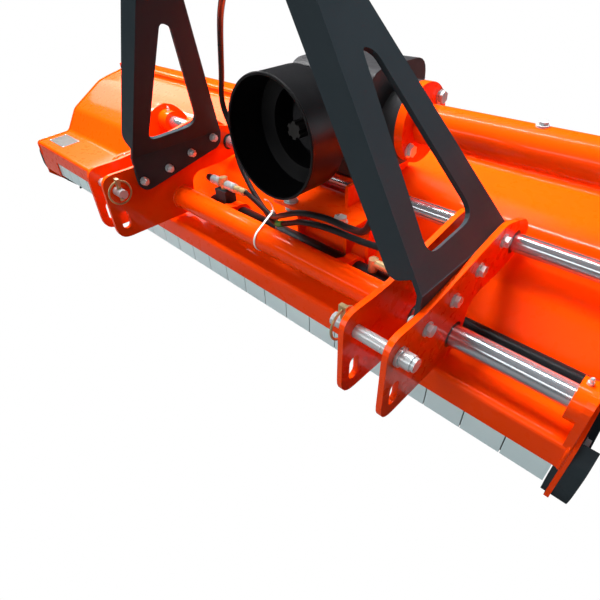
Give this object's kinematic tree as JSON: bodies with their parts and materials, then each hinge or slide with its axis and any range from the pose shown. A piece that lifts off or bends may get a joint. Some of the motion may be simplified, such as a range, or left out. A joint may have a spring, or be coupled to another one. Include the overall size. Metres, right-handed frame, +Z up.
{
  "type": "flail mower",
  "caption": "Tractor-mounted flail mower: orange folded deck, sliding three-point headstock on chrome bars, gearbox with guard, belt drive, flail rotor, front flaps, rear hood and roller.",
  "frame": {"origin": "on the ground under the middle of the machine's box", "axes": "+X to the machine's right hand side of the picture, along the rotor; +Y away from the tractor; +Z up"},
  "size_m": [2.238, 0.874, 1.033],
  "materials": {
    "orange_paint": "gloss orange powder coat",
    "black_paint": "satin black paint",
    "black_casting": "painted casting",
    "zinc_steel": "zinc plated",
    "machined_steel": "machined",
    "chrome_bar": "hard chrome",
    "yellow_zinc": "yellow zinc plated",
    "brass_fitting": "plated fittings",
    "black_rubber": "matt",
    "black_plastic": "moulded black",
    "grey_plastic": "moulded grey",
    "white_plastic": "nylon"
  },
  "bodies": {
    "mower_frame": {"deck_shell": "orange_paint", "left_side_plate": "orange_paint", "right_side_plate": "orange_paint", "left_skid": "black_paint", "right_skid": "black_paint", "flap_rod": "zinc_steel", "front_slide_bar": "chrome_bar", "rear_slide_bar": "chrome_bar", "left_bar_bracket": "orange_paint", "right_bar_bracket": "orange_paint", "gearbox_stand": "orange_paint", "gearbox_housing": "black_casting", "pto_guard": "black_plastic", "drive_tube": "orange_paint", "filler_plug": "grey_plastic", "shaft_bearing": "black_casting", "drive_belts": "black_rubber", "belt_cover": "orange_paint", "left_rotor_bearing": "black_casting", "right_rotor_bearing": "black_casting", "left_roller_bracket": "orange_paint", "right_roller_bracket": "orange_paint", "hood_hinge_rod": "zinc_steel", "frame_bolts": "zinc_steel", "cylinder_rod": "black_paint"},
    "headstock": {"left_outer_plate": "orange_paint", "left_inner_plate": "orange_paint", "right_inner_plate": "orange_paint", "right_outer_plate": "orange_paint", "sleeve_tube": "orange_paint", "slide_bushes": "black_plastic", "left_mast_leg": "black_paint", "right_mast_leg": "black_paint", "top_link_bracket": "black_paint", "mast_bolts": "zinc_steel", "left_hitch_pin": "zinc_steel", "right_hitch_pin": "zinc_steel", "linch_pins": "yellow_zinc", "cylinder_barrel": "black_paint", "hose_fittings": "brass_fitting", "hose_left_port": "black_rubber", "hose_right_port": "black_rubber", "cable_tie": "white_plastic"},
    "flaps_left": {"front_flaps_left": "zinc_steel"},
    "flaps_middle": {"front_flaps_middle": "zinc_steel"},
    "flaps_right": {"front_flaps_right": "zinc_steel"},
    "input_shaft": {"pto_input_shaft": "machined_steel", "crown_gear": "machined_steel"},
    "cross_drive": {"cross_shaft": "machined_steel", "pinion_gear": "machined_steel", "upper_pulley": "black_casting"},
    "rotor": {"rotor_tube": "black_paint", "hammer_pins": "zinc_steel", "lower_pulley": "black_casting"},
    "hammer_row_lower": {"hammers_lower_row": "machined_steel"},
    "hammer_row_upper": {"hammers_upper_row": "machined_steel"},
    "roller": {"rear_roller": "black_paint"},
    "hood": {"rear_hood": "orange_paint"},
    "ring_left": {"left_linch_ring": "yellow_zinc"},
    "ring_right": {"right_linch_ring": "yellow_zinc"}
  },
  "joints": [
    {"name": "side_shift", "type": "slide", "parent": "mower_frame", "child": "headstock", "axis": [1, 0, 0], "range_m": [-0.165, 0.165]},
    {"name": "rotor_turn", "type": "hinge", "parent": "mower_frame", "child": "rotor", "pos_m": [0.357, 0.102, 0.215], "axis": [1, 0, 0], "continuous": true},
    {"name": "cross_shaft_turn", "type": "hinge", "parent": "mower_frame", "child": "cross_drive", "pos_m": [0.657, -0.001, 0.56], "axis": [1, 0, 0], "continuous": true},
    {"name": "pto_turn", "type": "hinge", "parent": "mower_frame", "child": "input_shaft", "pos_m": [0.357, -0.133, 0.56], "axis": [0, 1, 0], "continuous": true},
    {"name": "roller_turn", "type": "hinge", "parent": "mower_frame", "child": "roller", "pos_m": [0, 0.362, 0.075], "axis": [1, 0, 0], "continuous": true},
    {"name": "flaps_left_swing", "type": "hinge", "parent": "mower_frame", "child": "flaps_left", "pos_m": [-0.643, -0.2555, 0.198], "axis": [1, 0, 0], "range_deg": [0, 75]},
    {"name": "flaps_middle_swing", "type": "hinge", "parent": "mower_frame", "child": "flaps_middle", "pos_m": [-0.036, -0.2555, 0.198], "axis": [1, 0, 0], "range_deg": [0, 75]},
    {"name": "flaps_right_swing", "type": "hinge", "parent": "mower_frame", "child": "flaps_right", "pos_m": [0.647, -0.2555, 0.198], "axis": [1, 0, 0], "range_deg": [0, 75]},
    {"name": "hammers_lower_swing", "type": "hinge", "parent": "rotor", "child": "hammer_row_lower", "pos_m": [-0.036, 0.102, 0.138], "axis": [1, 0, 0], "range_deg": [-85, 85]},
    {"name": "hammers_upper_swing", "type": "hinge", "parent": "rotor", "child": "hammer_row_upper", "pos_m": [-0.036, 0.102, 0.292], "axis": [1, 0, 0], "range_deg": [-85, 85]},
    {"name": "hood_open", "type": "hinge", "parent": "mower_frame", "child": "hood", "pos_m": [-0.036, 0.189, 0.454], "axis": [1, 0, 0], "range_deg": [0, 70]},
    {"name": "left_ring_swing", "type": "hinge", "parent": "headstock", "child": "ring_left", "pos_m": [-0.032, -0.406, 0.417], "axis": [0, -1, 0], "range_deg": [0, 150]},
    {"name": "right_ring_swing", "type": "hinge", "parent": "headstock", "child": "ring_right", "pos_m": [0.669, -0.406, 0.417], "axis": [0, 1, 0], "range_deg": [0, 150]}
  ],
  "couplings": [
    {"joint": "cross_shaft_turn", "follows": "rotor_turn", "ratio": 0.78947},
    {"joint": "pto_turn", "follows": "rotor_turn", "ratio": 0.26316}
  ]
}
